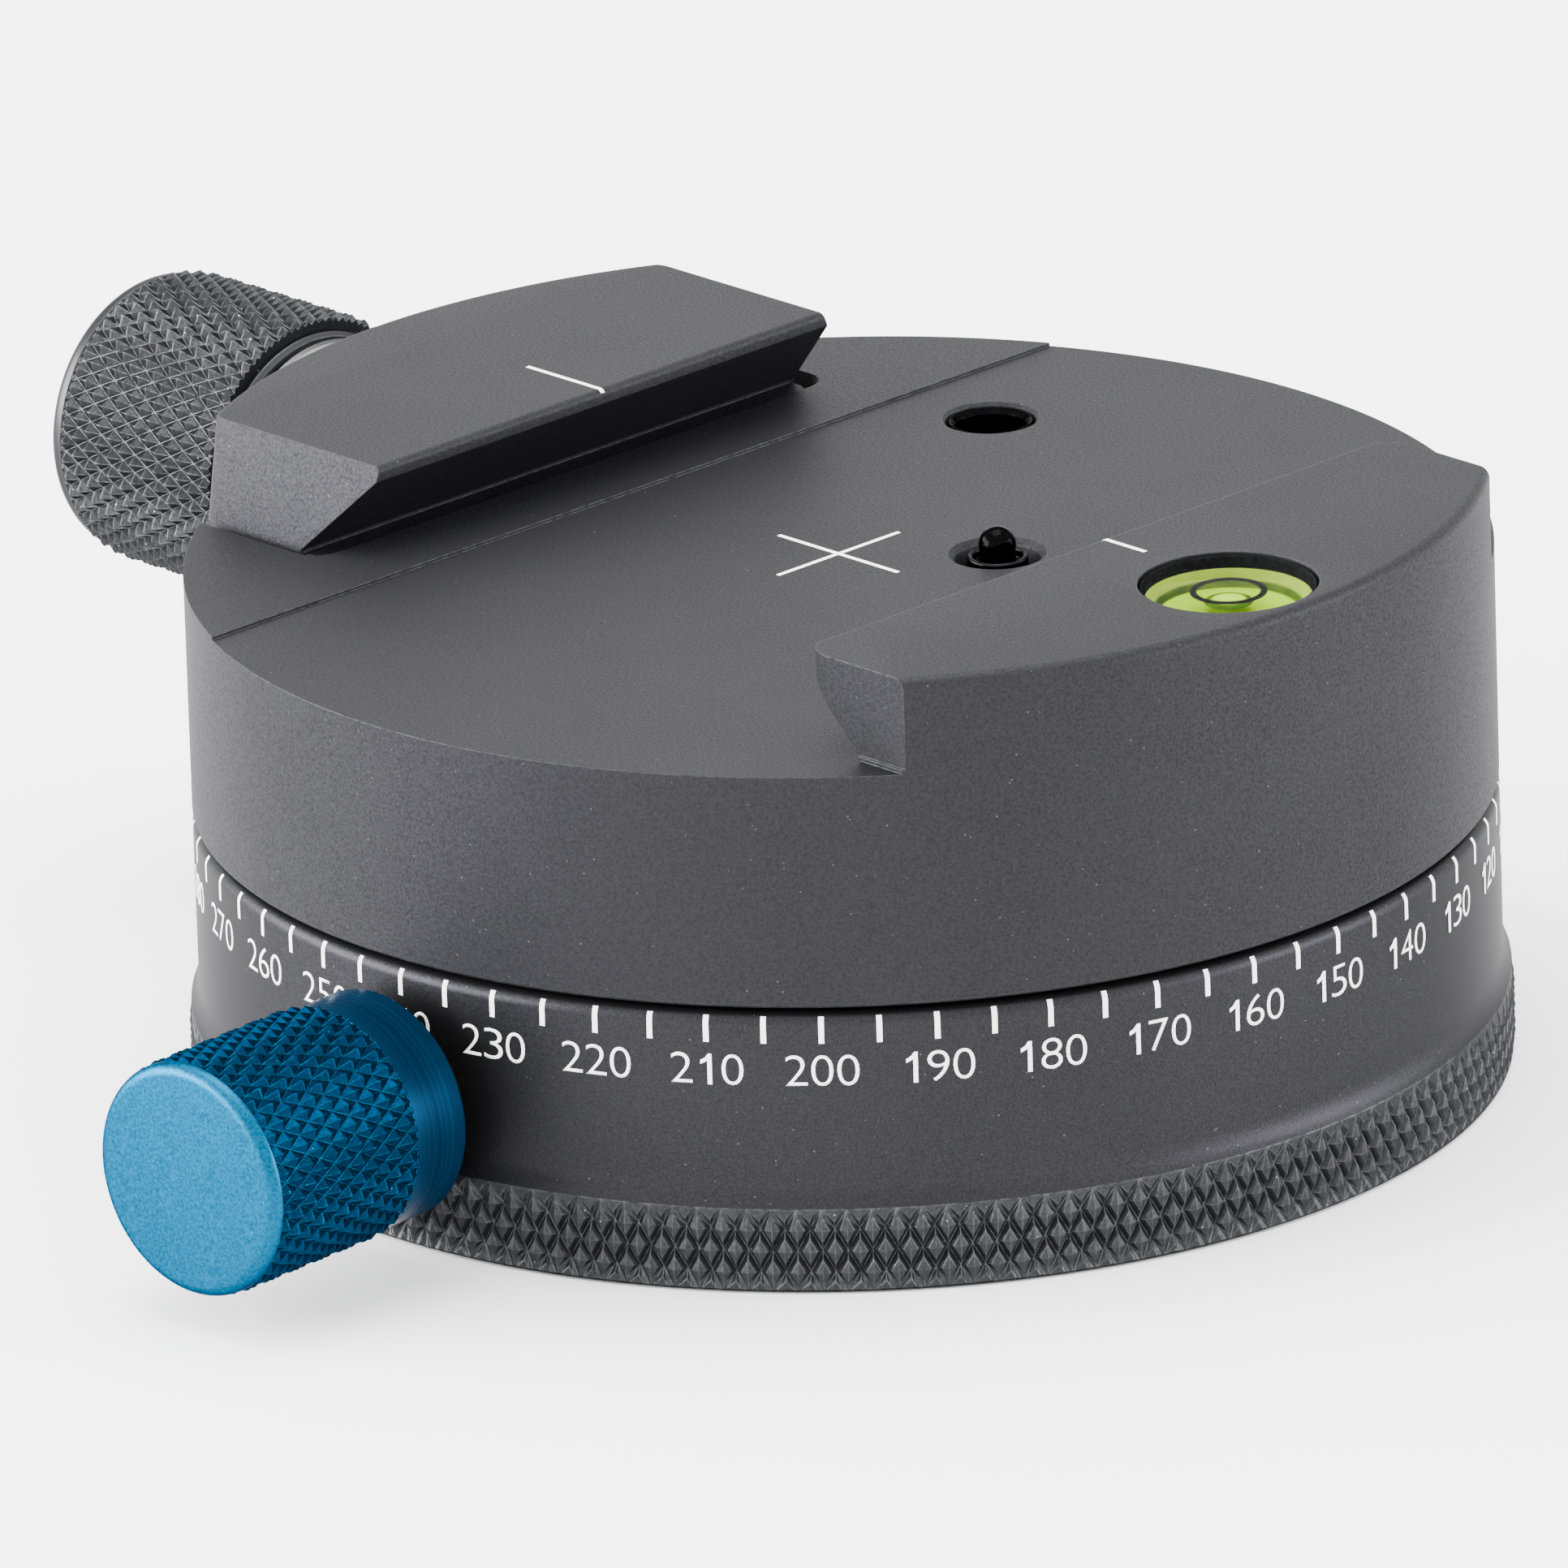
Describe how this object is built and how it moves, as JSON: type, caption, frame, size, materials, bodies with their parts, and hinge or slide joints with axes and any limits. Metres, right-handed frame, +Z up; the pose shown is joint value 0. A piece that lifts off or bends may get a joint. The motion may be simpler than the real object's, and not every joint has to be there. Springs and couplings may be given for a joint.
{
  "type": "panoramic tripod head",
  "caption": "Low round panning tripod head with a degree scale, a dovetail plate clamp with a bubble level, a knurled clamp knob and a knurled pan lock knob.",
  "frame": {"origin": "on the clamp seat, where the axis that the head turns about meets it", "axes": "+Z up along the turning axis, +X across the channel toward the fixed jaw with the level, +Y along the channel"},
  "size_m": [0.0754, 0.0739, 0.0286],
  "materials": {
    "blasted_grey": "bead-blasted charcoal anodising, fine grain",
    "turned_grey": "satin turned charcoal anodising",
    "knob_grey": "knurled charcoal anodising",
    "blue_anodised": "blue anodising, blasted face and diamond knurl",
    "bright_steel": "turned bright steel",
    "black_steel": "blackened steel",
    "spring_steel": "spring steel wire",
    "brass": "turned brass",
    "slide_plastic": "pale sliding plastic",
    "brake_plastic": "dark brake plastic",
    "level_black": "black moulded cup",
    "level_fluid": "yellow-green level fluid",
    "clear_lens": "clear lens"
  },
  "bodies": {
    "base": {"base_ring": "turned_grey", "base_plate": "turned_grey", "tripod_bush": "bright_steel", "upper_glide": "slide_plastic", "lower_glide": "slide_plastic", "lock_bush": "brass", "plate_screw_1": "black_steel", "plate_screw_2": "black_steel", "plate_screw_3": "black_steel", "plate_screw_4": "black_steel"},
    "brake": {"lock_shoe": "brake_plastic"},
    "lock_handle": {"lock_screw": "bright_steel", "lock_knob": "blue_anodised", "lock_grub_screw": "black_steel"},
    "turning_drum": {"upper_drum": "blasted_grey", "hub": "turned_grey", "wave_washer": "spring_steel", "level_cup": "level_black", "level_fluid": "level_fluid", "level_lens": "clear_lens", "pin_sleeve": "black_steel", "pin_spring": "spring_steel", "guide_pin_1": "bright_steel", "guide_pin_2": "bright_steel", "return_spring_1": "spring_steel", "return_spring_2": "spring_steel", "hub_screw_1": "black_steel", "hub_screw_2": "black_steel", "hub_screw_3": "black_steel", "hub_screw_4": "black_steel"},
    "pin": {"stop_pin": "black_steel"},
    "jaw": {"sliding_jaw": "blasted_grey", "thrust_washer": "bright_steel"},
    "clamp_handle": {"clamp_spindle": "bright_steel", "clamp_collar": "knob_grey", "clamp_knob": "knob_grey", "clamp_cross_pin": "black_steel"}
  },
  "joints": [
    {"name": "pan", "type": "hinge", "parent": "base", "child": "turning_drum", "pos_m": [0, 0, 0], "axis": [0, 0, 1], "continuous": true},
    {"name": "jaw_slide", "type": "slide", "parent": "turning_drum", "child": "jaw", "axis": [-1, 0, 0], "range_m": [0, 0.003], "deforming": ["return_spring_1", "return_spring_2"]},
    {"name": "clamp_turn", "type": "hinge", "parent": "jaw", "child": "clamp_handle", "pos_m": [-0.04, 0, -0.00342], "axis": [-1, 0, 0], "range_deg": [0, 1350.01]},
    {"name": "pin_press", "type": "slide", "parent": "turning_drum", "child": "pin", "axis": [0, 0, -1], "range_m": [0, 0.0012], "stiffness_N_per_m": 600, "springref_m": -0.0006, "deforming": ["pin_spring"]},
    {"name": "brake_slide", "type": "slide", "parent": "base", "child": "brake", "axis": [-0.0569, 0.9984, 0], "range_m": [0, 0.0004]},
    {"name": "lock_turn", "type": "hinge", "parent": "brake", "child": "lock_handle", "pos_m": [0.0021, -0.03694, -0.0171], "axis": [-0.0569, 0.9984, 0], "range_deg": [0, 180.01]}
  ],
  "couplings": [
    {"joint": "clamp_turn", "follows": "jaw_slide", "rad_per_m": 7854},
    {"joint": "lock_turn", "follows": "brake_slide", "rad_per_m": 7854}
  ]
}
